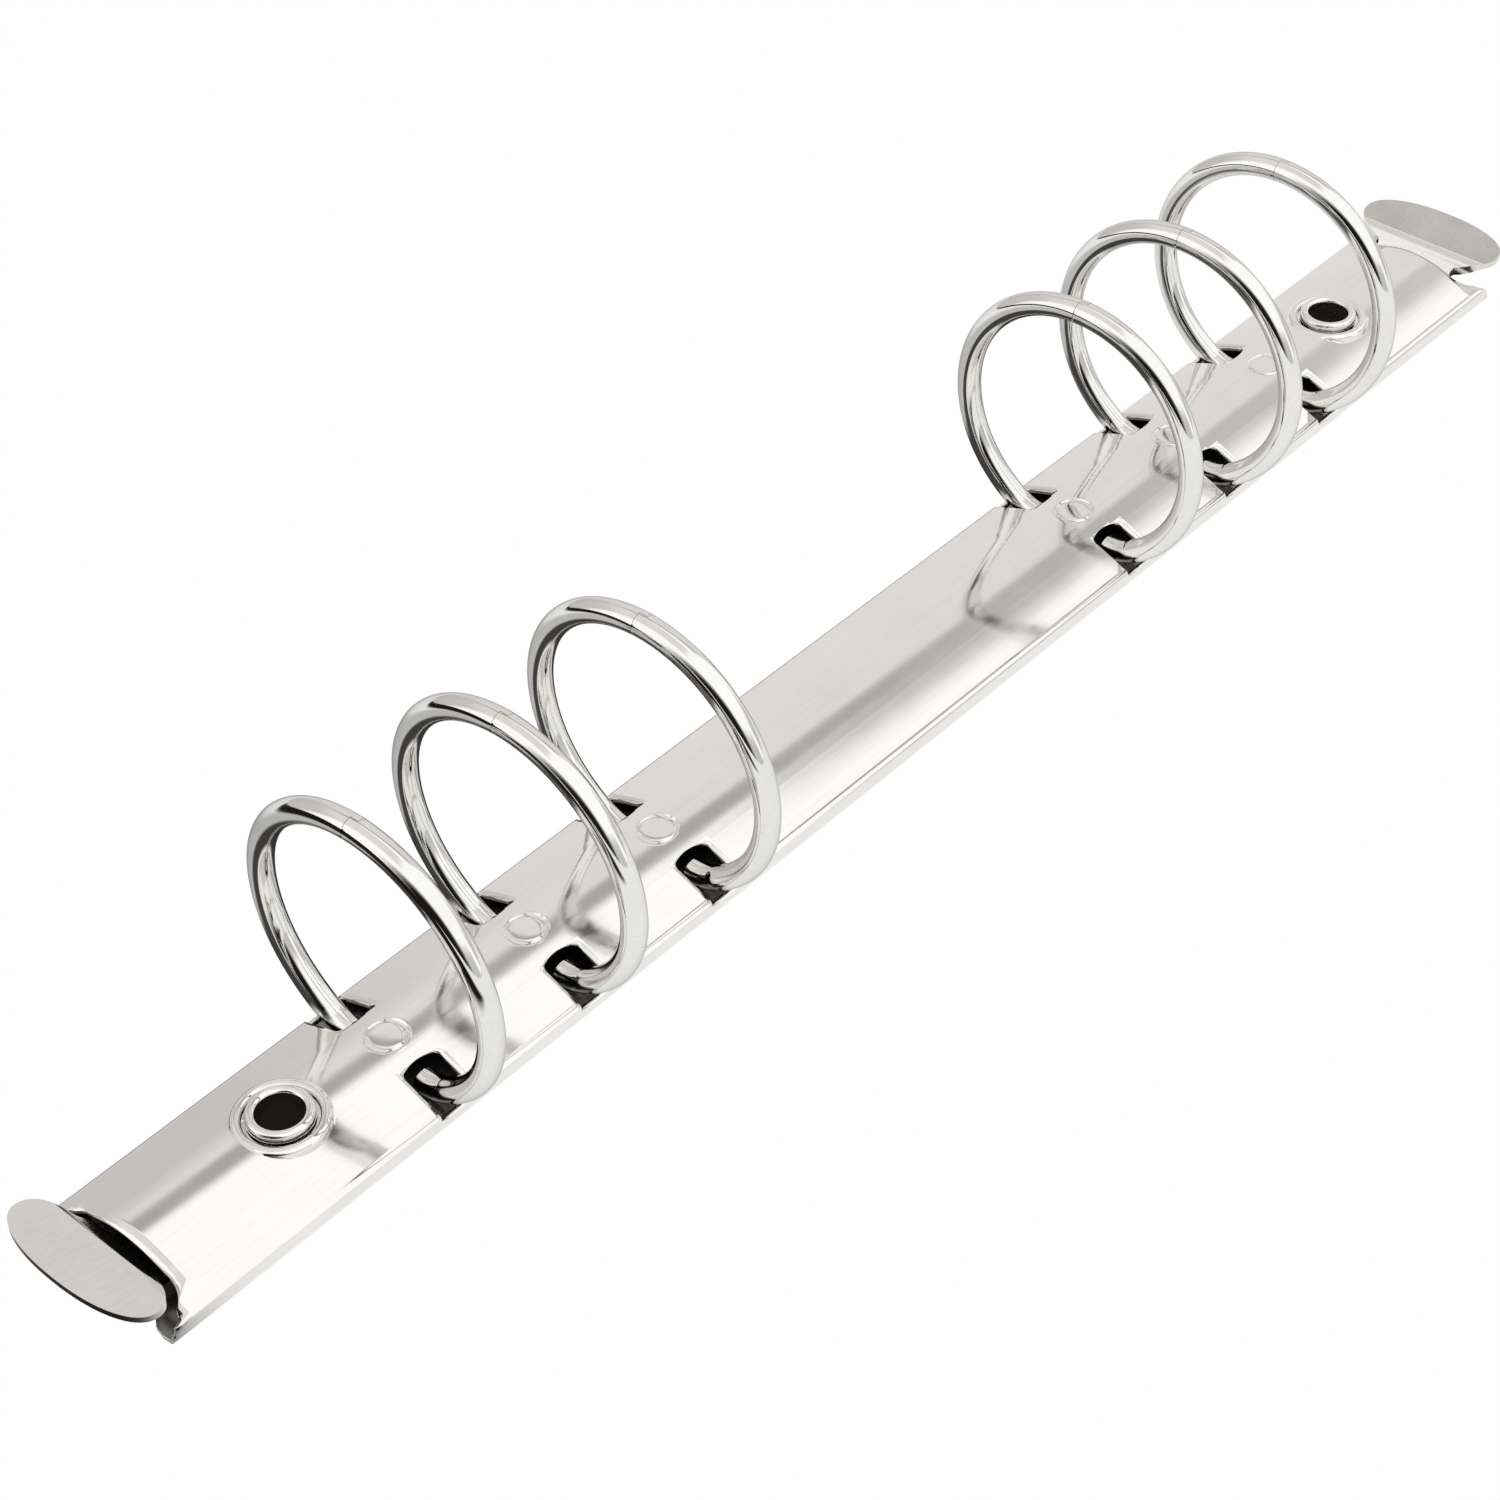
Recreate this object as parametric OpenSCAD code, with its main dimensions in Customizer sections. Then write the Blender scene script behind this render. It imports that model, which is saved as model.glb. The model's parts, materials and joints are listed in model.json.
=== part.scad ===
// Ring binder mechanism, A5, three and three rings, round shape.
// X runs along the cover, the near side is -Y, +Z is up and z = 0 is the face that lies on the spine.
// The rings are drawn closed.

/* [Cover] */
// Width of the cover over its folded edges
cover_w = 19.4; // [19.0:0.1:20.0]
// Height of the crown above the mounting face
cover_h = 4.8; // [4.8:0.1:5.4]
// Sheet thickness of the cover
cover_t = 0.5; // [0.4:0.05:0.55]
// Outer radius of the arch
arch_r = 13.25; // [13.0:0.25:14.5]
// Half length of the arch at the crown
arch_half_l = 105.3; // [104.8:0.1:106]
// Half length over the folded ears at the corners
ear_half_l = 108.4; // [107.8:0.1:108.8]

/* [Rings] */
// Ring positions along the cover, from the middle
ring_x = [-73, -54, -35, 35, 54, 73]; // [-80:0.5:80]
// Diameter of the ring wire
wire_d = 2.7; // [2.6:0.1:3.2]
// Radius of the ring at the middle of the wire
ring_r = 15.5; // [14.5:0.1:17]
// Height of the ring centre above the crown
ring_rise = 11.2; // [10.8:0.1:11.6]
// Length of the stepped joint at the top of a ring
joint_l = 1.0; // [0.8:0.1:2.5]

/* [Hinge plates] */
// Sheet thickness of the plates
plate_t = 0.6; // [0.5:0.05:0.65]
// Half length of the plates
plate_half_l = 97; // [96.6:0.1:97.2]
// How far the inner panel stands above the outer margin
plate_step = 0.3; // [0.25:0.05:0.35]

/* [Levers] */
// Sheet thickness of the levers
lever_t = 0.7; // [0.6:0.05:0.7]
// Half width of the thumb tab
tab_half_w = 9.7; // [8.5:0.1:10.5]
// Half width of the neck under the arch
neck_half_w = 5.3; // [4.8:0.1:5.4]

/* [Mounting eyelets] */
// Distance of each eyelet from the middle
eyelet_x = 86.5; // [86:0.1:87]
// Radius of the mounting hole
hole_r = 2.35; // [2.0:0.05:2.5]

/* [Hidden] */
$fn = 96;

eps = 0.01;
big = 40;
run_gap = 0.05;

// Cover section: arch, shoulder strip, folded edge and lip
fold_r = 0.7;
fold_y = cover_w / 2 - fold_r;
arch_z = cover_h - arch_r;
crease_y = 7.87;
crease_z = arch_z + sqrt(arch_r * arch_r - crease_y * crease_y);
strip_a = 5;
fold_z = crease_z - tan(strip_a) * (fold_y + fold_r * sin(strip_a) - crease_y) - fold_r * cos(strip_a);
lip_edge_y = 6.6;

// Ends of the cover: the arch stops short of the ears, with a round notch between them
notch_y = 5.9;
notch_r = 2.9;
ear_in_y = 5.45;
ear_l = 9;

// Ring slots
slot_w = 4.6;
slot_in_y = 4.0;
slot_end_r = 5;
slot_floor_z = 1.3;

// Round coined flats on the crown, one at each ring
coin_r = 2.3;
coin_depth = 0.22;

// Eyelets and the pressed rings that carry them
eyelet_wall = 0.5;
flange_l = 1.05;
flange_r = hole_r + flange_l;
flange_roll_r = flange_l / 2;
seat_z = cover_h - 0.2;
press_ring_r = 4.15;
press_ring_minor_r = 0.75;
eyelet_foot_z = 0.15;

// Hinge plates
plate_out_y = 9.0;
plate_margin_y = 7.4;
plate_panel_y = 6.9;
plate_in_y = run_gap;
margin_z = cover_t + run_gap;
panel_z = margin_z + plate_step;
panel_top_z = panel_z + plate_t;
plate_notch_r = 3.5;

// Half rings: the wire leaves the circle at leave_y and bends on to lie level on the plate
ring_z = cover_h + ring_rise;
leave_y = 8.3;
leave_a = acos(leave_y / ring_r);
foot_bend_r = 6.5;
foot_overlap_a = 2;
foot_shrink = 0.02;
tenon_y = 5.7;
tenon_r = 0.9;
tenon_head_r = 1.15;
tenon_fit = 0.03;

// Levers, as drawn for the right end
pivot_x = 101.5;
pivot_z = 1.1;
trunnion_r = 0.55;
trunnion_y = 7.0;
web_z = panel_top_z + 0.4;
web_half_w = 3.6;
web_x = 98;
neck_x = 100;
finger_tip_x = 96.2;
finger_in_y = 2.4;
tongue_tip_x = 94.8;
tongue_half_w = 1.6;
tongue_z = panel_z - run_gap - lever_t;
tongue_root_r = 0.3;
tongue_top_r = 0.2;
tongue_lap = 0.8;
cheek_x0 = 100.2;
cheek_x1 = 102.8;
cheek_z = cover_t + 0.1;
neck_a = 5;
neck_bend_r = 2;
ramp_x = 105;
ramp_l = 1.9;
ramp_a = 50;
ramp_bend_r = 0.6;
tab_a = 12;
tab_bend_r = 1.6;
tab_run = 8;
tab_x = 109.65;
tab_half_l = 3.75;
tab_power = 2.2;
neck_fillet_r = 1.2;
neck_fillet_x = 105.7;

steel = [0.80, 0.80, 0.78];
steel_dark = [0.66, 0.66, 0.65];

// ---------- helpers ----------

// A quarter of a sheet bend, in quadrant q (0 to 3) round its centre
module quarter_bend(r, t, q) {
    rotate(90 * q)
        intersection() {
            difference() {
                circle(r);
                circle(r - t);
            }
            square(r);
        }
}

// A folded sheet seen from its edge. Each step is [straight length, bend angle, inner radius]:
// it runs straight along +X, then turns up (+) or down (-) round the inner radius.
module folded_strip(steps, t, i = 0) {
    if (i < len(steps)) {
        run = steps[i][0];
        turn = steps[i][1];
        r = steps[i][2];
        up = turn > 0;
        centre_y = up ? t + r : -r;
        translate([-eps, 0]) square([run + 2 * eps, t]);
        if (turn != 0)
            translate([run, centre_y]) {
                bend_sector(r, t, turn);
                rotate(turn)
                    translate([0, -centre_y])
                        folded_strip(steps, t, i + 1);
            }
        else
            translate([run, 0])
                folded_strip(steps, t, i + 1);
    }
}

// The bent part between two straight runs, for any turn up to 90 degrees
module bend_sector(r, t, turn) {
    reach = (turn > 0 ? -3 : 3) * (r + t);
    intersection() {
        difference() {
            circle(r + t);
            circle(r);
        }
        polygon([[0, 0], for (a = [0, turn / 2, turn]) reach * [-sin(a), cos(a)]]);
    }
}

// Section along X drawn with +X of the sketch on +Y and +Y of the sketch on +Z
module along_x(x0, x1) {
    translate([x0, 0, 0])
        rotate([90, 0, 90])
            linear_extrude(x1 - x0)
                children();
}

// Side view extruded across the width
module across_y(half_w) {
    rotate([90, 0, 0])
        linear_extrude(2 * half_w, center = true)
            children();
}

module both_sides() {
    children();
    mirror([0, 1, 0]) children();
}

module both_ends() {
    children();
    mirror([1, 0, 0]) children();
}

// Closed outline between an ellipse and a rounded rectangle
module soft_oval(half_x, half_y, power) {
    polygon([for (a = [0:5:355])
        [half_x * sign(cos(a)) * pow(abs(cos(a)), 2 / power),
         half_y * sign(sin(a)) * pow(abs(sin(a)), 2 / power)]]);
}

// ---------- cover ----------

module cover_section() {
    intersection() {
        translate([0, arch_z])
            difference() {
                circle(arch_r, $fn = 180);
                circle(arch_r - cover_t, $fn = 180);
            }
        translate([-crease_y, 0]) square([2 * crease_y, cover_h]);
    }
    for (side = [0, 1])
        mirror([side, 0])
            folded_edge_section();
}

module folded_edge_section() {
    s = sin(strip_a);
    c = cos(strip_a);
    inner_r = fold_r - cover_t;
    polygon([
        [crease_y, crease_z],
        [fold_y + fold_r * s, fold_z + fold_r * c],
        [fold_y + inner_r * s, fold_z + inner_r * c],
        [crease_y - cover_t * s, crease_z - cover_t * c]
    ]);
    translate([fold_y, fold_z]) quarter_bend(fold_r, cover_t, 0);
    translate([fold_y + inner_r, fold_r]) square([cover_t, fold_z - fold_r]);
    translate([fold_y, fold_r]) quarter_bend(fold_r, cover_t, 3);
    translate([ear_in_y, 0]) square([fold_y - ear_in_y, cover_t]);
}

// One slot on the near side, open towards the folded edge
module ring_slot() {
    intersection() {
        translate([-slot_w / 2, -big, slot_floor_z]) cube([slot_w, big, big]);
        translate([0, -slot_in_y - slot_end_r, 0]) {
            cylinder(r = slot_end_r, h = big);
            translate([-big / 2, -big, 0]) cube([big, big, big]);
        }
    }
}

// The lips are trimmed back between the ears, which carry the trunnions of the levers
module lip_trim() {
    translate([ear_l - ear_half_l, -lip_edge_y, -eps])
        cube([2 * (ear_half_l - ear_l), 2 * lip_edge_y, cover_t + 2 * eps]);
}

// What is cut from the right end above the lips: the arch stops short and a round notch frees the ear
module end_cut() {
    translate([0, 0, cover_t])
        linear_extrude(big) {
            translate([arch_half_l, -notch_y]) square([big, 2 * notch_y]);
            for (side = [-1, 1])
                translate([arch_half_l + notch_r, side * notch_y]) {
                    circle(notch_r);
                    translate([0, -notch_r]) square([big, 2 * notch_r]);
                }
        }
}

module pressed_ring() {
    rotate_extrude()
        translate([press_ring_r, seat_z - press_ring_minor_r / 2])
            intersection() {
                circle(press_ring_minor_r, $fn = 48);
                translate([-press_ring_minor_r, 0]) square(2 * press_ring_minor_r);
            }
    translate([0, 0, seat_z - cover_t]) cylinder(r = press_ring_r, h = cover_t);
}

module cover_plate() color(steel)
    difference() {
        union() {
            difference() {
                along_x(-ear_half_l, ear_half_l) cover_section();
                both_ends()
                    translate([eyelet_x, 0, cover_t]) cylinder(r = press_ring_r, h = big);
            }
            both_ends() translate([eyelet_x, 0, 0]) pressed_ring();
        }
        lip_trim();
        both_ends() {
            end_cut();
            translate([eyelet_x, 0, 0]) cylinder(r = hole_r + eyelet_wall, h = big);
        }
        for (x = ring_x)
            translate([x, 0, 0]) {
                both_sides() ring_slot();
                translate([0, 0, cover_h - coin_depth]) cylinder(r = coin_r, h = big);
            }
    }

// ---------- eyelets ----------

module eyelet(x) color(steel)
    translate([x, 0, 0])
        rotate_extrude() {
            translate([hole_r, eyelet_foot_z]) square([eyelet_wall, seat_z - eyelet_foot_z + eps]);
            translate([hole_r, seat_z]) square([flange_r - hole_r, flange_roll_r]);
            translate([hole_r + flange_roll_r, seat_z + flange_roll_r]) circle(flange_roll_r, $fn = 48);
        }

// ---------- hinge plates ----------

// Section of the near plate, joggled up from its margin to its panel
module plate_section() {
    polygon([
        [-plate_out_y, margin_z], [-plate_margin_y, margin_z],
        [-plate_panel_y, panel_z], [-plate_in_y, panel_z],
        [-plate_in_y, panel_top_z], [-plate_panel_y, panel_top_z],
        [-plate_margin_y, margin_z + plate_t], [-plate_out_y, margin_z + plate_t]
    ]);
}

module near_plate_shape() color(steel_dark)
    difference() {
        along_x(-plate_half_l, plate_half_l) plate_section();
        both_ends() translate([eyelet_x, 0, 0]) cylinder(r = plate_notch_r, h = big);
        for (x = ring_x)
            translate([x, -tenon_y, 0]) cylinder(r = tenon_r + tenon_fit, h = big, $fn = 48);
    }

module near_hinge_plate() near_plate_shape();

module far_hinge_plate() rotate([0, 0, 180]) near_plate_shape();

// ---------- half rings ----------

// The space that the plate and what lies under it take from the wire
module under_foot_section() {
    polygon([
        [-plate_out_y - 0.3, -big], [-plate_out_y - 0.3, margin_z + plate_t],
        [-plate_margin_y, margin_z + plate_t], [-plate_panel_y, panel_top_z],
        [0, panel_top_z], [0, -big]
    ]);
}

// Round wire along an arc in the YZ plane, from angle a0 to angle a1, counted from +Y towards +Z
module wire_arc(r, d, a0, a1) {
    rotate([90, 0, 90])
        rotate(a0)
            rotate_extrude(angle = a1 - a0, $fn = 180)
                translate([r, 0]) circle(d = d, $fn = 48);
}

// Near half ring at the middle of the cover. Its foot is flattened onto the plate and held by a
// riveted tenon. Its top ends in a step on the -X side of the wire.
module half_ring_shape() {
    step_top_a = 90 - 2 * asin(joint_l / ring_r);
    foot_centre = ring_r - foot_bend_r;
    difference() {
        union() {
            translate([0, 0, ring_z])
                wire_arc(ring_r, wire_d, step_top_a, 180 + leave_a);
            translate([0, -foot_centre * cos(leave_a), ring_z - foot_centre * sin(leave_a)])
                wire_arc(foot_bend_r, wire_d - foot_shrink, 180 + leave_a - foot_overlap_a, 270);
        }
        along_x(-wire_d, wire_d) under_foot_section();
        translate([-wire_d, joint_l / 2 - run_gap / 2, ring_z]) cube([2 * wire_d, big, big]);
        translate([-run_gap / 2, -joint_l / 2 - run_gap / 2, ring_z]) cube(big);
    }
    translate([0, -tenon_y, margin_z]) {
        cylinder(r = tenon_r, h = panel_top_z - margin_z + eps, $fn = 48);
        cylinder(r = tenon_head_r, h = plate_step, $fn = 48);
    }
}

module near_half_ring(i) color(steel)
    translate([ring_x[i - 1], 0, 0]) half_ring_shape();

module far_half_ring(i) color(steel)
    translate([ring_x[i - 1], 0, 0]) rotate([0, 0, 180]) half_ring_shape();

// ---------- levers ----------

// Outline of the lever seen from above: two fingers, web, neck and thumb tab
module lever_outline() {
    for (side = [0, 1])
        mirror([0, side])
            translate([finger_tip_x, finger_in_y])
                square([web_x - finger_tip_x + eps, web_half_w - finger_in_y]);
    translate([web_x, -web_half_w]) square([neck_x - web_x + eps, 2 * web_half_w]);
    translate([neck_x, -neck_half_w]) square([tab_x - neck_x, 2 * neck_half_w]);
    translate([tab_x, 0]) soft_oval(tab_half_l, tab_half_w, tab_power);
    both_sides()
        difference() {
            translate([neck_fillet_x, neck_half_w - eps]) square([2 * neck_fillet_r, neck_fillet_r]);
            translate([neck_fillet_x, neck_half_w + neck_fillet_r]) circle(neck_fillet_r);
        }
}

module right_lever_shape() {
    // fingers, web, neck and tab: one strip that rises past the end of the arch and levels out
    intersection() {
        across_y(tab_half_w)
            translate([finger_tip_x, web_z])
                folded_strip([
                    [pivot_x - finger_tip_x, neck_a, neck_bend_r],
                    [ramp_x - pivot_x, ramp_a - neck_a, ramp_bend_r],
                    [ramp_l, tab_a - ramp_a, tab_bend_r],
                    [tab_run, 0, 0]
                ], lever_t);
        linear_extrude(big) lever_outline();
    }
    // tongue that reaches under the plates, lanced from the web
    across_y(tongue_half_w)
        translate([tongue_tip_x, tongue_z])
            folded_strip([
                [web_x - tongue_tip_x - tongue_root_r, 90, tongue_root_r],
                [web_z - tongue_z - lever_t - tongue_root_r - tongue_top_r, -90, tongue_top_r],
                [tongue_lap, 0, 0]
            ], lever_t);
    // folded cheeks with the trunnions that ride on the lips of the cover
    both_sides() {
        translate([cheek_x0, neck_half_w - lever_t, cheek_z])
            cube([cheek_x1 - cheek_x0, lever_t, web_z - cheek_z + eps]);
        translate([pivot_x, neck_half_w - lever_t, pivot_z])
            rotate([-90, 0, 0])
                cylinder(r = trunnion_r, h = trunnion_y - neck_half_w + lever_t, $fn = 48);
    }
}

module right_lever() color(steel) right_lever_shape();

module left_lever() color(steel) mirror([1, 0, 0]) right_lever_shape();

// ---------- assembly ----------

cover_plate();
eyelet(-eyelet_x);  // left_eyelet
eyelet(eyelet_x);  // right_eyelet
near_hinge_plate();
far_hinge_plate();
near_half_ring(1);  // near_half_ring_1
near_half_ring(2);  // near_half_ring_2
near_half_ring(3);  // near_half_ring_3
near_half_ring(4);  // near_half_ring_4
near_half_ring(5);  // near_half_ring_5
near_half_ring(6);  // near_half_ring_6
far_half_ring(1);  // far_half_ring_1
far_half_ring(2);  // far_half_ring_2
far_half_ring(3);  // far_half_ring_3
far_half_ring(4);  // far_half_ring_4
far_half_ring(5);  // far_half_ring_5
far_half_ring(6);  // far_half_ring_6
left_lever();
right_lever();
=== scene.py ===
import json
import math

import bmesh
import bpy
from mathutils import Matrix, Vector

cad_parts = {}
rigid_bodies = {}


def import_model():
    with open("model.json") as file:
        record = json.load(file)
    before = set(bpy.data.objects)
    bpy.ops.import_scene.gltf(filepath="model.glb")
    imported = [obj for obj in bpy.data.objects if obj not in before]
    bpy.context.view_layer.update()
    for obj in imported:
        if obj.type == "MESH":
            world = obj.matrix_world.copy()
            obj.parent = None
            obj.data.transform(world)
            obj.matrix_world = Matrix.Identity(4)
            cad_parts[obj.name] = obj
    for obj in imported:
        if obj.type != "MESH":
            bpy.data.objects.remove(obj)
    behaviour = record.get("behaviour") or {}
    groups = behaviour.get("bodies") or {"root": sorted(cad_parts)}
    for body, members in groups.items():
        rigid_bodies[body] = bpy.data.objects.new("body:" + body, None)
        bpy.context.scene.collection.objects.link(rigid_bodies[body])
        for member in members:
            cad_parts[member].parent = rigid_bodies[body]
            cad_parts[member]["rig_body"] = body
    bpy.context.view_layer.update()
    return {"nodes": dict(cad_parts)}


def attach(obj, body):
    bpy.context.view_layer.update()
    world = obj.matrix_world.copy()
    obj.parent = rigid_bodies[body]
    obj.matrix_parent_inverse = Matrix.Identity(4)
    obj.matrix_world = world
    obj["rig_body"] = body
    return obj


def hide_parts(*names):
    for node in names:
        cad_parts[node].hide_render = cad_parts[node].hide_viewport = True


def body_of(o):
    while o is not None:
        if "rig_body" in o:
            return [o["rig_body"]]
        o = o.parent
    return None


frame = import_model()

MM = 0.001

# ---------- camera ----------
# It looks down at 41 degrees from the near left corner, with the part running up to the far right.
CAM_AZIMUTH = math.radians(-47.04)
CAM_ELEVATION = math.radians(41.37)
CAM_ROLL = math.radians(-1.93)
CAM_PLACE = Vector((-202.45, -169.35, 224.58)) * MM
CAM_LENS = 76.05
CAM_SENSOR = 36.0
CAM_NEAREST = 0.01


def place(name, data):
    """An object with that data, linked to the scene."""
    thing = bpy.data.objects.new(name, data)
    bpy.context.scene.collection.objects.link(thing)
    return thing


forward = Vector((
    -math.sin(CAM_AZIMUTH) * math.cos(CAM_ELEVATION),
    math.cos(CAM_AZIMUTH) * math.cos(CAM_ELEVATION),
    -math.sin(CAM_ELEVATION),
))
level_right = forward.cross(Vector((0, 0, 1))).normalized()
level_up = level_right.cross(forward)
cam_right = level_right * math.cos(CAM_ROLL) + level_up * math.sin(CAM_ROLL)
cam_up = cam_right.cross(forward)
cam_data = bpy.data.cameras.new("camera")
cam_data.lens = CAM_LENS
cam_data.sensor_width = CAM_SENSOR
cam_data.clip_start = CAM_NEAREST
camera = place("camera", cam_data)
cam_turn = Matrix((cam_right, cam_up, -forward)).transposed()
camera.matrix_world = Matrix.Translation(CAM_PLACE) @ cam_turn.to_4x4()
bpy.context.scene.camera = camera
bpy.context.scene.view_settings.view_transform = "Standard"

# ---------- floor ----------
# A white floor, which the camera and the mirror-bright metal both see as a clean white page. Under the
# part
# it is painted dark: painted shade where the cover's shadow falls, seen by every ray. Reflections alone
# also
# find it painted dark beyond the left end and along the far side, most of all in a strip beside the
# cover:
# painted dark surroundings for the metal to mirror. From below it is clear, so that the underside can be
# looked at.
FLOOR_SIZE = 3.0
FLOOR_WHITE = (1, 1, 1, 1)
# The colour of the painted shade under the part and of the painted dark surroundings.
FLOOR_DARK = (0.014, 0.011, 0.009, 1)
# Edges of the dark zones, in metres: none of the dark at the first place, all of it at the second.
# Painted shade under the part.
SHADE_UNDER_X = (0.1075, 0.1055)
SHADE_UNDER_Y = (0.0096, 0.0088)
LEFT_X = (-0.098, -0.118)
LEFT_Y = (-0.10, -0.06)
FAR_X = (0.075, 0.045)
FAR_NEAR_Y = (0.010, 0.013)
FAR_END_Y = (0.10, 0.05)
FAR_AMOUNT = 0.4
STRIP_END_Y = (0.031, 0.022)
STRIP_AMOUNT = 0.95


def feed(tree, socket, value):
    """Link the value to the socket, or set it there where it is a plain number or colour."""
    if isinstance(value, bpy.types.NodeSocket):
        tree.links.new(value, socket)
    else:
        socket.default_value = value


def calc(tree, operation, *values):
    """The result of a Math node."""
    node = tree.nodes.new("ShaderNodeMath")
    node.operation = operation
    for socket, value in zip(node.inputs, values):
        feed(tree, socket, value)
    return node.outputs[0]


def ramp(tree, value, start, end, low=0.0, high=1.0, curve="SMOOTHSTEP"):
    """From low, where value is at start, to high, where it is at end; start may be the larger one."""
    node = tree.nodes.new("ShaderNodeMapRange")
    node.interpolation_type = curve
    feed(tree, node.inputs["Value"], value)
    feed(tree, node.inputs["From Min"], start)
    feed(tree, node.inputs["From Max"], end)
    feed(tree, node.inputs["To Min"], low)
    feed(tree, node.inputs["To Max"], high)
    return node.outputs["Result"]


def paint(tree, mask, under, colour):
    """The colour under, covered with the other one by the mask."""
    node = tree.nodes.new("ShaderNodeMix")
    node.data_type = "RGBA"
    feed(tree, node.inputs[0], mask)
    feed(tree, node.inputs[6], under)
    feed(tree, node.inputs[7], colour)
    return node.outputs[2]


floor_mesh = bpy.data.meshes.new("floor")
floor_bm = bmesh.new()
bmesh.ops.create_grid(floor_bm, x_segments=1, y_segments=1, size=FLOOR_SIZE / 2)
floor_bm.to_mesh(floor_mesh)
floor_bm.free()
floor = place("floor", floor_mesh)
floor_mat = bpy.data.materials.new("floor")
floor_mat.use_nodes = True
floor_tree = floor_mat.node_tree
floor_tree.nodes.clear()
floor_out = floor_tree.nodes.new("ShaderNodeOutputMaterial")
floor_at = floor_tree.nodes.new("ShaderNodeSeparateXYZ")
floor_way = floor_tree.nodes.new("ShaderNodeTexCoord").outputs["Object"]
floor_tree.links.new(floor_way, floor_at.inputs[0])
floor_x, floor_y, _ = floor_at.outputs
floor_ray = floor_tree.nodes.new("ShaderNodeLightPath").outputs


def floor_zone(amount, *edges):
    """How dark the floor is there: the amount, faded at each edge."""
    for value, (start, end) in edges:
        amount = calc(floor_tree, "MULTIPLY", amount, ramp(floor_tree, value, start, end))
    return amount


def floor_layer(mask, under, over):
    """One shader covered with another by the mask."""
    node = floor_tree.nodes.new("ShaderNodeMixShader")
    for socket, value in zip(node.inputs, (mask, under, over)):
        floor_tree.links.new(value, socket)
    return node.outputs[0]


half_x = calc(floor_tree, "ABSOLUTE", floor_x)
half_y = calc(floor_tree, "ABSOLUTE", floor_y)
# Painted shade under the part, which every ray sees.
painted_shade_under = floor_zone(1, (half_x, SHADE_UNDER_X), (half_y, SHADE_UNDER_Y))
# Painted dark surroundings, which only reflections see.
mirrored = floor_zone(1, (floor_x, LEFT_X), (floor_y, LEFT_Y))
for amount, end_y in ((FAR_AMOUNT, FAR_END_Y), (STRIP_AMOUNT, STRIP_END_Y)):
    beside = floor_zone(amount, (floor_x, FAR_X), (floor_y, FAR_NEAR_Y), (floor_y, end_y))
    mirrored = calc(floor_tree, "MAXIMUM", mirrored, beside)
not_camera = calc(floor_tree, "SUBTRACT", 1, floor_ray["Is Camera Ray"])
mirrored = calc(floor_tree, "MULTIPLY", mirrored, not_camera)
floor_dark = calc(floor_tree, "MAXIMUM", painted_shade_under, mirrored)
floor_tone = paint(floor_tree, floor_dark, FLOOR_WHITE, FLOOR_DARK)
floor_matt = floor_tree.nodes.new("ShaderNodeBsdfDiffuse")
floor_glow = floor_tree.nodes.new("ShaderNodeEmission")
floor_clear = floor_tree.nodes.new("ShaderNodeBsdfTransparent")
for shader in (floor_matt, floor_glow):
    floor_tree.links.new(floor_tone, shader.inputs["Color"])
seen = calc(floor_tree, "MAXIMUM", floor_ray["Is Camera Ray"], floor_ray["Is Glossy Ray"])
seen = calc(floor_tree, "MAXIMUM", seen, floor_ray["Is Transmission Ray"])
floor_page = floor_layer(seen, floor_matt.outputs[0], floor_glow.outputs[0])
floor_back = floor_tree.nodes.new("ShaderNodeNewGeometry").outputs["Backfacing"]
floor_page = floor_layer(floor_back, floor_page, floor_clear.outputs[0])
floor_tree.links.new(floor_page, floor_out.inputs[0])
floor_mesh.materials.append(floor_mat)

# ---------- light ----------
# A light tent painted by direction: a bright wall on the near side and on the left, a warm grey roof
# that cools towards the far side, a dark seam between roof and near wall, and a black card low down
# on the left that draws the dark lines in the wire.
TENT_ROOF = (0.89, 0.85, 0.83, 1)
TENT_FAR = (0.68, 0.655, 0.64, 1)
TENT_FOLD = (0.74, 0.73, 0.71, 1)
TENT_SKIRT = (0.66, 0.66, 0.65, 1)
TENT_BRIGHT = (1.22, 1.22, 1.21, 1)
TENT_SEAM = (0.47, 0.475, 0.445, 1)
TENT_BLACK = (0.012, 0.011, 0.010, 1)
BACKGROUND = (1, 1, 1, 1)
rad = math.radians
SEAM_START = rad(12.5)
SEAM_SLANT = rad(120)
SEAM_HIGHEST = rad(86)
CARD_AZIMUTH = rad(-160)
CARD_EDGE = (math.cos(rad(46)), math.cos(rad(24)))
world = bpy.data.worlds.new("studio")
bpy.context.scene.world = world
world.use_nodes = True
tent_tree = world.node_tree
sky = tent_tree.nodes["Background"]
way = tent_tree.nodes.new("ShaderNodeTexCoord").outputs["Generated"]
split = tent_tree.nodes.new("ShaderNodeSeparateXYZ")
tent_tree.links.new(way, split.inputs[0])
east, north, high = split.outputs
# The turn about the part's length is 0 at the far horizon, 90 degrees overhead and 180 at the near one.
turn = calc(tent_tree, "ARCTAN2", high, north)
# The seam climbs from left to right, up to its highest turn.
seam = calc(tent_tree, "MULTIPLY_ADD", east, -SEAM_SLANT, -SEAM_START)
past_seam = calc(tent_tree, "ADD", turn, calc(tent_tree, "MAXIMUM", seam, -SEAM_HIGHEST))
toward_card = tent_tree.nodes.new("ShaderNodeVectorMath")
toward_card.operation = "DOT_PRODUCT"
toward_card.inputs[1].default_value = (math.cos(CARD_AZIMUTH), math.sin(CARD_AZIMUTH), 0)
tent_tree.links.new(way, toward_card.inputs[0])
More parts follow.
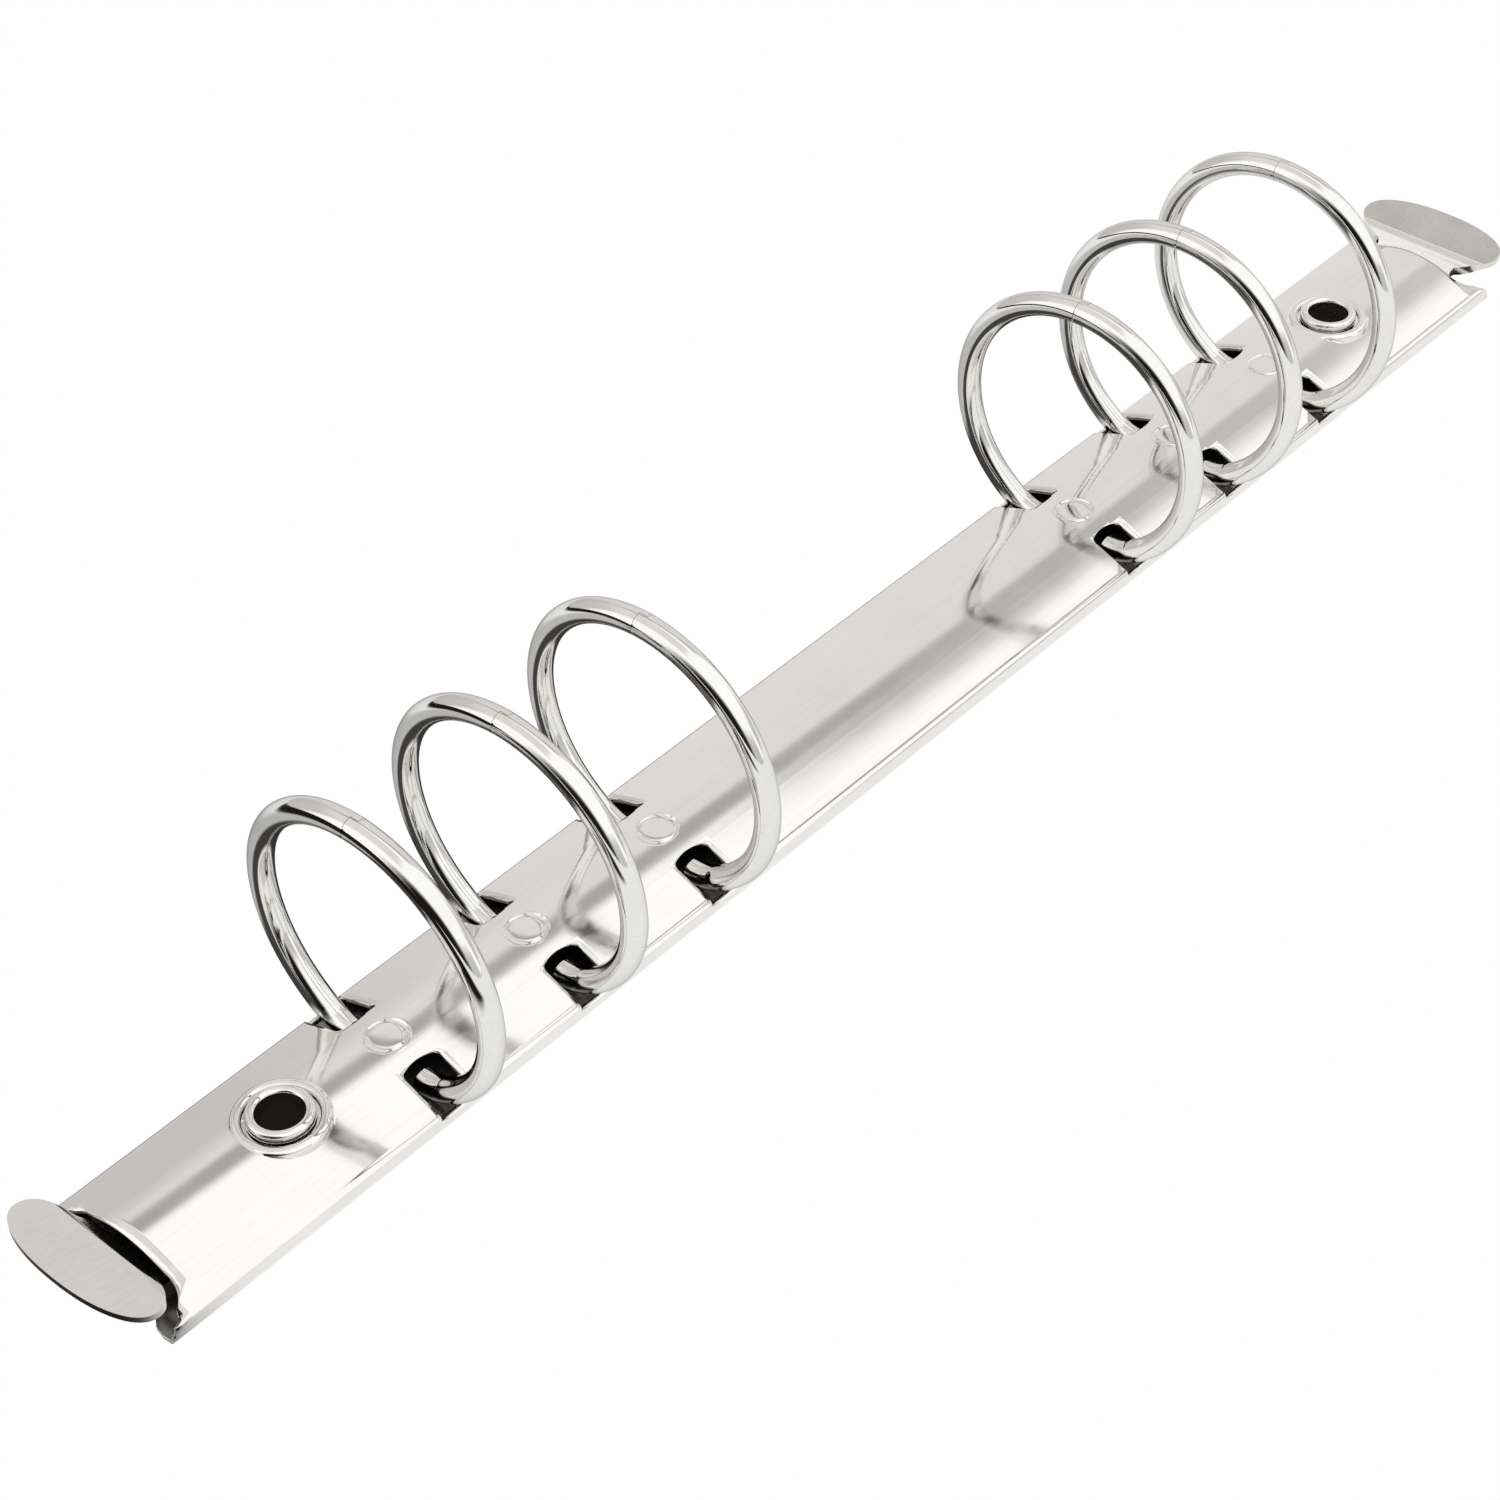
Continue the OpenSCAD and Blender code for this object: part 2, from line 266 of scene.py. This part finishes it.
# Each layer covers those before it. Its edges fade in from their first value to their second.
tent_layers = {
    "far roof": (TENT_FAR, (turn, rad(46), rad(18)), (east, 0.52, 0.36)),
    "left wall": (TENT_BRIGHT, (east, -0.42, -0.62)),
    "fold": (TENT_FOLD, (past_seam, rad(5), rad(12)), (east, 0.5, 0.55), (east, 0.68, 0.63)),
    "right near wall": (TENT_BRIGHT, (past_seam, rad(4), rad(11)), (east, 0.62, 0.68)),
    "upper near wall": (TENT_BRIGHT, (turn, rad(91), rad(100)), (high, 0.2, 0.45)),
    "near skirt": (TENT_SKIRT, (north, -0.05, -0.3), (high, 0.42, 0.15)),
    "seam": (
        TENT_SEAM, (past_seam, rad(-13), rad(-3)), (past_seam, rad(14), rad(4)),
        (east, 0.95, 0.5), (east, 0.1, 0.3),
    ),
    "near roof": (TENT_BRIGHT, (past_seam, rad(8), rad(17)), (east, 0.2, 0.3), (east, 0.585, 0.535)),
    "black card": (TENT_BLACK, (toward_card.outputs["Value"], *CARD_EDGE)),
}
tent = TENT_ROOF
for colour, *edges in tent_layers.values():
    mask = 1.0
    for value, start, end in edges:
        mask = calc(tent_tree, "MULTIPLY", mask, ramp(tent_tree, value, start, end))
    tent = paint(tent_tree, mask, tent, colour)
tent_ray = tent_tree.nodes.new("ShaderNodeLightPath").outputs
tent = paint(tent_tree, tent_ray["Is Camera Ray"], tent, BACKGROUND)
tent_tree.links.new(tent, sky.inputs["Color"])
sky.inputs["Strength"].default_value = 1.0

# ---------- nickel finish ----------
# Plated steel: faint rolling lines, a slow mottle in tone and polish, and a very slight waviness that
# makes the reflections wander. The group feeds all nickel materials, which differ in tone and polish; the
# darker tones of the inner sheet, the plates and the levers are painted shade, as is the wire's dark
# edge.
LINES = (90, 2600, 2600)
LINES_DETAIL = 3.0
LINES_DEPTH = 0.0000005
MOTTLE = 150.0
MOTTLE_DETAIL = 4.0
WAVES = 95.0
WAVES_DETAIL = 1.0
TONE_SPAN = (0.35, 0.65)
POLISH_SPAN = (0.3, 0.7)
# Painted shade where a surface is seen edge-on: its span in facing, and its colour.
RIM_SPAN = (0.66, 0.95)
EDGE_ON_SHADE_TONE = (0.12, 0.12, 0.115, 1)
finish = bpy.data.node_groups.new("nickel_finish", "ShaderNodeTree")
finish.interface.new_socket("Waviness", in_out="INPUT", socket_type="NodeSocketFloat")
finish.interface.new_socket("Tone", in_out="OUTPUT", socket_type="NodeSocketFloat")
finish.interface.new_socket("Polish", in_out="OUTPUT", socket_type="NodeSocketFloat")
finish.interface.new_socket("Normal", in_out="OUTPUT", socket_type="NodeSocketVector")


def finish_noise(vector, scale, detail):
    node = finish.nodes.new("ShaderNodeTexNoise")
    node.inputs["Scale"].default_value = scale
    node.inputs["Detail"].default_value = detail
    finish.links.new(vector, node.inputs["Vector"])
    return node.outputs["Fac"]


def finish_bump(height, distance):
    node = finish.nodes.new("ShaderNodeBump")
    node.inputs["Strength"].default_value = 1.0
    feed(finish, node.inputs["Distance"], distance)
    finish.links.new(height, node.inputs["Height"])
    return node


finish_in = finish.nodes.new("NodeGroupInput")
finish_out = finish.nodes.new("NodeGroupOutput")
finish_at = finish.nodes.new("ShaderNodeTexCoord").outputs["Object"]
stretch = finish.nodes.new("ShaderNodeMapping")
stretch.inputs["Scale"].default_value = LINES
finish.links.new(finish_at, stretch.inputs["Vector"])
lines = finish_noise(stretch.outputs[0], 1.0, LINES_DETAIL)
mottle = finish_noise(finish_at, MOTTLE, MOTTLE_DETAIL)
waves = finish_noise(finish_at, WAVES, WAVES_DETAIL)
line_bump = finish_bump(lines, LINES_DEPTH)
wave_bump = finish_bump(waves, finish_in.outputs["Waviness"])
finish.links.new(line_bump.outputs[0], wave_bump.inputs["Normal"])
mean_tone = calc(finish, "MULTIPLY_ADD", lines, 0.5, calc(finish, "MULTIPLY", mottle, 0.5))
finish.links.new(mean_tone, finish_out.inputs["Tone"])
finish.links.new(mottle, finish_out.inputs["Polish"])
finish.links.new(wave_bump.outputs[0], finish_out.inputs["Normal"])


def nickel(name, pale, deep, smooth, rough, waviness, rim=0.0):
    """Tones between pale and deep, roughness from smooth to rough, and painted shade edge-on by the rim's
    share.
    """
    mat = bpy.data.materials.new(name)
    mat.use_nodes = True
    tree = mat.node_tree
    shader = tree.nodes["Principled BSDF"]
    shader.inputs["Metallic"].default_value = 1.0
    shader.inputs["Base Color"].default_value = (*pale, 1)
    shader.inputs["Roughness"].default_value = smooth
    # Painted shade: the rim's share dims the reflection's edge tint.
    shader.inputs["Specular Tint"].default_value = (1 - rim, 1 - rim, 1 - rim, 1)
    group = tree.nodes.new("ShaderNodeGroup")
    group.node_tree = finish
    group.inputs["Waviness"].default_value = waviness
    spread = ramp(tree, group.outputs["Tone"], *TONE_SPAN, curve="LINEAR")
    tone = paint(tree, spread, (*deep, 1), (*pale, 1))
    # Painted shade: toward the dark rim tone where the surface is seen edge-on, by the rim's share.
    edge_on = tree.nodes.new("ShaderNodeLayerWeight")
    edge_on.inputs["Blend"].default_value = 0.5
    shade = ramp(tree, edge_on.outputs["Facing"], *RIM_SPAN, 0.0, rim)
    tree.links.new(paint(tree, shade, tone, EDGE_ON_SHADE_TONE), shader.inputs["Base Color"])
    polish = ramp(tree, group.outputs["Polish"], *POLISH_SPAN, smooth, rough, "LINEAR")
    tree.links.new(polish, shader.inputs["Roughness"])
    tree.links.new(group.outputs["Normal"], shader.inputs["Normal"])
    return mat


sheet_nickel = nickel(
    "sheet_nickel", pale=(0.83, 0.82, 0.80), deep=(0.78, 0.77, 0.75),
    smooth=0.05, rough=0.11, waviness=0.000014,
)
# The underside of the sheet: a dark copy of the nickel, painted shade for the inside of the arch.
shaded_inner_nickel = nickel(
    "shaded_inner_nickel", pale=(0.20, 0.195, 0.19), deep=(0.14, 0.135, 0.13),
    smooth=0.35, rough=0.5, waviness=0.000004,
)
# The wire carries painted shade where it is seen edge-on.
wire_nickel = nickel(
    "wire_nickel", pale=(0.82, 0.815, 0.79), deep=(0.76, 0.755, 0.73),
    smooth=0.04, rough=0.10, waviness=0.00001, rim=0.35,
)
# The plates: plain nickel, rougher, with a dark tone that is painted shade for the inside of the cover.
shaded_plate_nickel = nickel(
    "shaded_plate_nickel", pale=(0.34, 0.335, 0.33), deep=(0.24, 0.235, 0.23),
    smooth=0.28, rough=0.4, waviness=0.000004,
)
# The levers: rougher nickel, with a greyer tone that is painted shade on the tabs.
shaded_lever_nickel = nickel(
    "shaded_lever_nickel", pale=(0.74, 0.73, 0.71), deep=(0.68, 0.67, 0.65),
    smooth=0.14, rough=0.24, waviness=0.000012,
)

# ---------- cover ----------
# One pressed sheet, in mm. Its flat blank is cut first, with slots, and with round patches for the
# coined flats and the eyelet seats. It is then cut into strips along the bends and bent to the section.
SHEET = 0.5
CROWN_Z = 4.8
RING_X = (-73, -54, -35, 35, 54, 73)
EYELET_X = (-86.5, 86.5)
# From the crown to the lip: the radius, or the length of a straight one, the turn in degrees, the strips.
BENDS = {
    "crown": (12.0, 17.5, 12),
    "flank": (50.505, 6.5, 5),
    "crease": (0.5, -16, 4),
    "fold": (0.7, 82, 12),
    "wall": (0.934, 0, 2),
    "hem": (0.55, 90, 8),
    "lip": (3.72, 0, 1),
}
# The ends: the arch stops short, a round notch leads to the slanted ends of fold, wall and hem, and
# the lip reaches further in under the ear, whose corner is given back from its tip and past the hem.
ARCH_END = 105.3
ARCH_END_Y = (0, 2, 4)
NOTCH_Y = 5.9
NOTCH_R = 2.9
NOTCH_TURN = (180, 118)
FOLD_END = ((107.2, 9.05), (107.9, 9.6))
WALL_END = 108.25
WALL_END_Z = 0.9
HEM_END = 108.55
EAR_TIP = 108.7
EAR_CORNER = ((0, 1.6), (0.25, 2.9), (0.9, 3.8))
EAR_FLAT = 2.0
EAR_START = 99.4
EAR_REACH = 1.15
# Half a slot from the wall up: straight side, rounded corner, and a shallow arc across the top end.
SLOT_HALF = 2.3
SLOT_SIDE_Y = 5.2
SLOT_FOOT_Z = 1.35
SLOT_CORNER_Y = 5.05
SLOT_CORNER_R = 0.8
SLOT_CORNER_TURN = (0, -62)
SLOT_TOP_Y = 9
SLOT_TOP_R = 5.0
SLOT_TOP_TURN = (285.5, 270)
# A coined flat has a groove round a very low crown, and an eyelet seat has a raised bead round it. The
# rings of faces, from the outside in, are closest where the sheet turns most.
COIN_RINGS = (2.7, 2.5, 2.4, 2.33, 2.26, 2.18, 2.1, 2.0, 1.88, 1.75, 1.5, 1.1, 0.6)
COIN_SIDES = 48
COIN_Z = 4.6
COIN_R = 2.3
COIN_EDGE = (2.42, 2.2)
COIN_CROWN = 0.10
GROOVE_R = 1.98
GROOVE_WIDTH = 0.17
GROOVE_DEPTH = 0.13
SEAT_RINGS = (
    5.1, 4.96, 4.91, 4.88, 4.82, 4.72, 4.58, 4.4, 4.25, 4.12, 4.0, 3.9, 3.82, 3.75, 3.7, 3.5, 3.1, 2.85,
)
SEAT_SIDES = 72
SEAT_Z = 4.3
BEAD_R = 4.3
BEAD_Z = 4.35
BEAD_ROUND = 0.6
BEAD_EDGE = (4.93, 4.88)
# Even cuts across the strips, and how near a point on the blank is taken to lie on a line.
CROSS_CUT = 1.9
CROSS_SHIFT = 0.37
CROSS_COUNT = 56
BEND_SLACK = 1e-5
CROSS_SLACK = 1e-4
ROUND_SLACK = 0.02
SHEET_SHARP = rad(40)

# The section's stations: distance along the blank, and the place in Y and Z.
stations = [(0.0, 0.0, CROWN_Z)]
bend_end = {}
heading = 0.0
for name, (size, bend, strips) in BENDS.items():
    step = math.radians(bend / strips)
    run = 2 * size * abs(math.sin(step / 2)) if bend else size / strips
    for k in range(strips):
        s, y, z = stations[-1]
        heading += step / 2
        stations.append((s + run, y + run * math.cos(heading), z - run * math.sin(heading)))
        heading += step / 2
    bend_end[name] = len(stations) - 1


def at_station(value, column, first, last):
    """Blank distance where the section has that y (column 1) or z (column 2), between two stations."""
    for a, b in zip(stations[first:last], stations[first + 1:last + 1]):
        low, high = sorted((a[column], b[column]))
        if low - 1e-9 <= value <= high + 1e-9 and a[column] != b[column]:
            return a[0] + (b[0] - a[0]) * (value - a[column]) / (b[column] - a[column])
    raise ValueError((value, column))


def s_of_y(y):
    """Blank distance at that y on the arch."""
    return math.copysign(at_station(abs(y), 1, 0, bend_end["fold"]), y)


def s_of_z(z):
    """Blank distance at that z on the wall."""
    return at_station(z, 2, bend_end["fold"], bend_end["wall"])


def on_section(s):
    """Y and Z of the bent sheet at that blank distance."""
    for a, b in zip(stations, stations[1:]):
        if abs(s) <= b[0] + 1e-9:
            f = (abs(s) - a[0]) / (b[0] - a[0])
            return math.copysign(a[1] + f * (b[1] - a[1]), s), a[2] + f * (b[2] - a[2])
    return math.copysign(stations[-1][1], s), stations[-1][2]


def arc(cx, cy, r, start, end, count):
    """Points of an arc in the plan, between two angles in degrees."""
    angles = [math.radians(start + (end - start) * k / count) for k in range(count + 1)]
    return [(cx + r * math.cos(a), cy + r * math.sin(a)) for a in angles]


hem_s = stations[bend_end["wall"]][0]
lip_s = stations[-1][0]
quarter = [(ARCH_END, s_of_y(y)) for y in ARCH_END_Y]
quarter += [(x, s_of_y(y)) for x, y in arc(ARCH_END + NOTCH_R, NOTCH_Y, NOTCH_R, *NOTCH_TURN, 8)]
quarter += [(x, s_of_y(y)) for x, y in FOLD_END]
quarter += [(WALL_END, s_of_z(WALL_END_Z)), (HEM_END, hem_s)]
quarter += [(EAR_TIP - back, hem_s + past) for back, past in EAR_CORNER]
quarter += [(EAR_TIP - EAR_FLAT, lip_s), (EAR_START, lip_s), (EAR_START, lip_s - EAR_REACH)]
outline = quarter + [(-x, s) for x, s in reversed(quarter)]
outline += [(-x, -s) for x, s in quarter[1:]] + [(x, -s) for x, s in reversed(quarter[1:])]
slot_side = [(SLOT_HALF, SLOT_SIDE_Y)]
slot_side += arc(SLOT_HALF - SLOT_CORNER_R, SLOT_CORNER_Y, SLOT_CORNER_R, *SLOT_CORNER_TURN, 4)
slot_side += arc(0, SLOT_TOP_Y, SLOT_TOP_R, *SLOT_TOP_TURN, 4)
slot_top = slot_side + [(-x, y) for x, y in reversed(slot_side[:-1])]
foot_s = s_of_z(SLOT_FOOT_Z)
slot = [(SLOT_HALF, foot_s)] + [(x, s_of_y(y)) for x, y in slot_top] + [(-SLOT_HALF, foot_s)]

cover_bm = bmesh.new()


def cut_loop(points):
    """A closed line of edges on the blank."""
    verts = [cover_bm.verts.new((x, s, 0)) for x, s in points]
    for a, b in zip(verts, verts[1:] + verts[:1]):
        cover_bm.edges.new((a, b))


def cut_round(cx, r, sides):
    """A line on the blank that is round in plan once the sheet is bent."""
    angles = [2 * math.pi * k / sides for k in range(sides)]
    cut_loop([(cx + r * math.cos(a), s_of_y(r * math.sin(a))) for a in angles])


def cut_plane(along, across, normal, merge):
    """Cut all faces of the blank by a plane across it."""
    geom = cover_bm.verts[:] + cover_bm.edges[:] + cover_bm.faces[:]
    bmesh.ops.bisect_plane(
        cover_bm, geom=geom, dist=merge, plane_co=(along, across, 0), plane_no=normal
    )


cut_loop(outline)
for cx in RING_X:
    for side in (-1, 1):
        cut_loop([(cx + x, side * s) for x, s in slot])
for cx in RING_X:
    cut_round(cx, COIN_RINGS[0], COIN_SIDES)
for cx in EYELET_X:
    cut_round(cx, SEAT_RINGS[0], SEAT_SIDES)
bmesh.ops.triangle_fill(cover_bm, edges=cover_bm.edges[:], use_beauty=False, normal=(0, 0, 1))
for cut, _, _ in stations[:-1]:
    for s in {cut, -cut}:
        cut_plane(0, s, (0, 1, 0), BEND_SLACK)
# The fill's own slanted edges go, and the even cuts take their place.
slanted = [
    e for e in cover_bm.edges
    if len(e.link_faces) == 2 and abs(e.verts[0].co.y - e.verts[1].co.y) > CROSS_SLACK
]
bmesh.ops.dissolve_edges(cover_bm, edges=slanted, use_verts=False)
for k in range(-CROSS_COUNT, CROSS_COUNT + 1):
    cut_plane(k * CROSS_CUT + CROSS_SHIFT, 0, (1, 0, 0), CROSS_SLACK)


def fill_round(cx, rings):
    """Rings of faces inward from a round cut; gives the innermost ring."""
    def polar(v):
        y = on_section(v.co.y)[0]
        return math.hypot(v.co.x - cx, y), math.atan2(y, v.co.x - cx)

    around = sorted(
        (
            v for v in cover_bm.verts
            if abs(polar(v)[0] - rings[0]) < ROUND_SLACK
            and any(len(e.link_faces) == 1 for e in v.link_edges)
        ),
        key=lambda v: polar(v)[1],
    )
    angles = [polar(v)[1] for v in around]
    for r in rings[1:]:
        inner = [
            cover_bm.verts.new((cx + r * math.cos(a), s_of_y(r * math.sin(a)), 0)) for a in angles
        ]
        for k in range(len(around)):
            j = (k + 1) % len(around)
            cover_bm.faces.new((around[k], around[j], inner[j], inner[k]))
        around = inner
    return around


for cx in RING_X:
    cover_bm.faces.new(fill_round(cx, COIN_RINGS))
for cx in EYELET_X:
    fill_round(cx, SEAT_RINGS)


def smooth(start, end, value):
    """0 before start, 1 past end, with no corner between; start may be the larger one."""
    t = min(1, max(0, (value - start) / (end - start)))
    return t * t * (3 - 2 * t)


def raised(x, y, z):
    """Height of the sheet at that place, with the coined flats and the eyelet seats pressed in."""
    for cx in RING_X:
        r = math.hypot(x - cx, y)
        if r < COIN_RINGS[0]:
            groove = GROOVE_DEPTH * math.exp(-((r - GROOVE_R) / GROOVE_WIDTH) ** 2)
            flat = COIN_Z - groove + COIN_CROWN * (1 - (r / COIN_R) ** 2)
            return z + (flat - z) * smooth(*COIN_EDGE, r)
    for cx in EYELET_X:
        r = math.hypot(x - cx, y)
        if r < SEAT_RINGS[0]:
            bead = BEAD_Z + math.sqrt(max(BEAD_ROUND ** 2 - (r - BEAD_R) ** 2, 0))
            if r < BEAD_R:
                return max(bead, SEAT_Z)
            return max(z, z + (bead - z) * smooth(*BEAD_EDGE, r))
    return z


arch_s = stations[bend_end["flank"]][0]
for v in cover_bm.verts:
    x, s = v.co.x, v.co.y
    y, z = on_section(s)
    v.co = Vector((x, y, raised(x, y, z) if abs(s) < arch_s else z)) * MM
bmesh.ops.recalc_face_normals(cover_bm, faces=cover_bm.faces[:])
if sum(f.normal.z * f.calc_area() for f in cover_bm.faces) < 0:
    bmesh.ops.reverse_faces(cover_bm, faces=cover_bm.faces[:])
cover_mesh = bpy.data.meshes.new("cover")
cover_bm.to_mesh(cover_mesh)
cover_bm.free()
cover_mesh.materials.append(sheet_nickel)
cover_mesh.materials.append(shaded_inner_nickel)
cover_mesh.shade_smooth()
cover_mesh.set_sharp_from_angle(angle=SHEET_SHARP)
cover = place("cover", cover_mesh)
thick = cover.modifiers.new("sheet", "SOLIDIFY")
thick.thickness = SHEET * MM
thick.offset = -1
# The underside takes the second material, with its painted shade.
thick.material_offset = 1
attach(cover, "cover")
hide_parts("cover_plate")

# ---------- wire, levers, plates and eyelets ----------
# These keep the CAD model's form. Each gets broken edges, so that its rims catch the light.
# For each kind: its material, the width of the broken edge in mm, and its slot.
DRESS = {
    "half_ring": (wire_nickel, 0.10, "bright_wire"),
    "lever": (shaded_lever_nickel, 0.16, "bright_nickel"),
    "hinge_plate": (shaded_plate_nickel, 0.08, "plain_nickel"),
    "eyelet": (sheet_nickel, 0.05, "bright_nickel"),
}
SAME_POINT = 0.002 * MM
SAME_PLANE = rad(0.4)
SHARP = rad(34)
for name, node in sorted(frame["nodes"].items()):
    if name == "cover_plate":
        continue
    kind = next(k for k in DRESS if k in name)
    mat, width, slot_name = DRESS[kind]
    piece_bm = bmesh.new()
    piece_bm.from_mesh(node.data)
    piece_bm.transform(node.matrix_world)
    bmesh.ops.remove_doubles(piece_bm, verts=piece_bm.verts, dist=SAME_POINT)
    bmesh.ops.dissolve_limit(
        piece_bm, angle_limit=SAME_PLANE, verts=piece_bm.verts, edges=piece_bm.edges
    )
    piece_mesh = bpy.data.meshes.new(name + "_dressed")
    piece_bm.to_mesh(piece_mesh)
    piece_bm.free()
    piece_mesh.materials.append(mat)
    piece_mesh.shade_smooth()
    piece_mesh.set_sharp_from_angle(angle=SHARP)
    piece = place(name + "_dressed", piece_mesh)
    broken = piece.modifiers.new("broken_edge", "BEVEL")
    broken.width = width * MM
    broken.segments = 3
    broken.limit_method = "ANGLE"
    broken.angle_limit = SHARP
    broken.harden_normals = True
    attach(piece, body_of(node)[0])
    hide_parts(name)
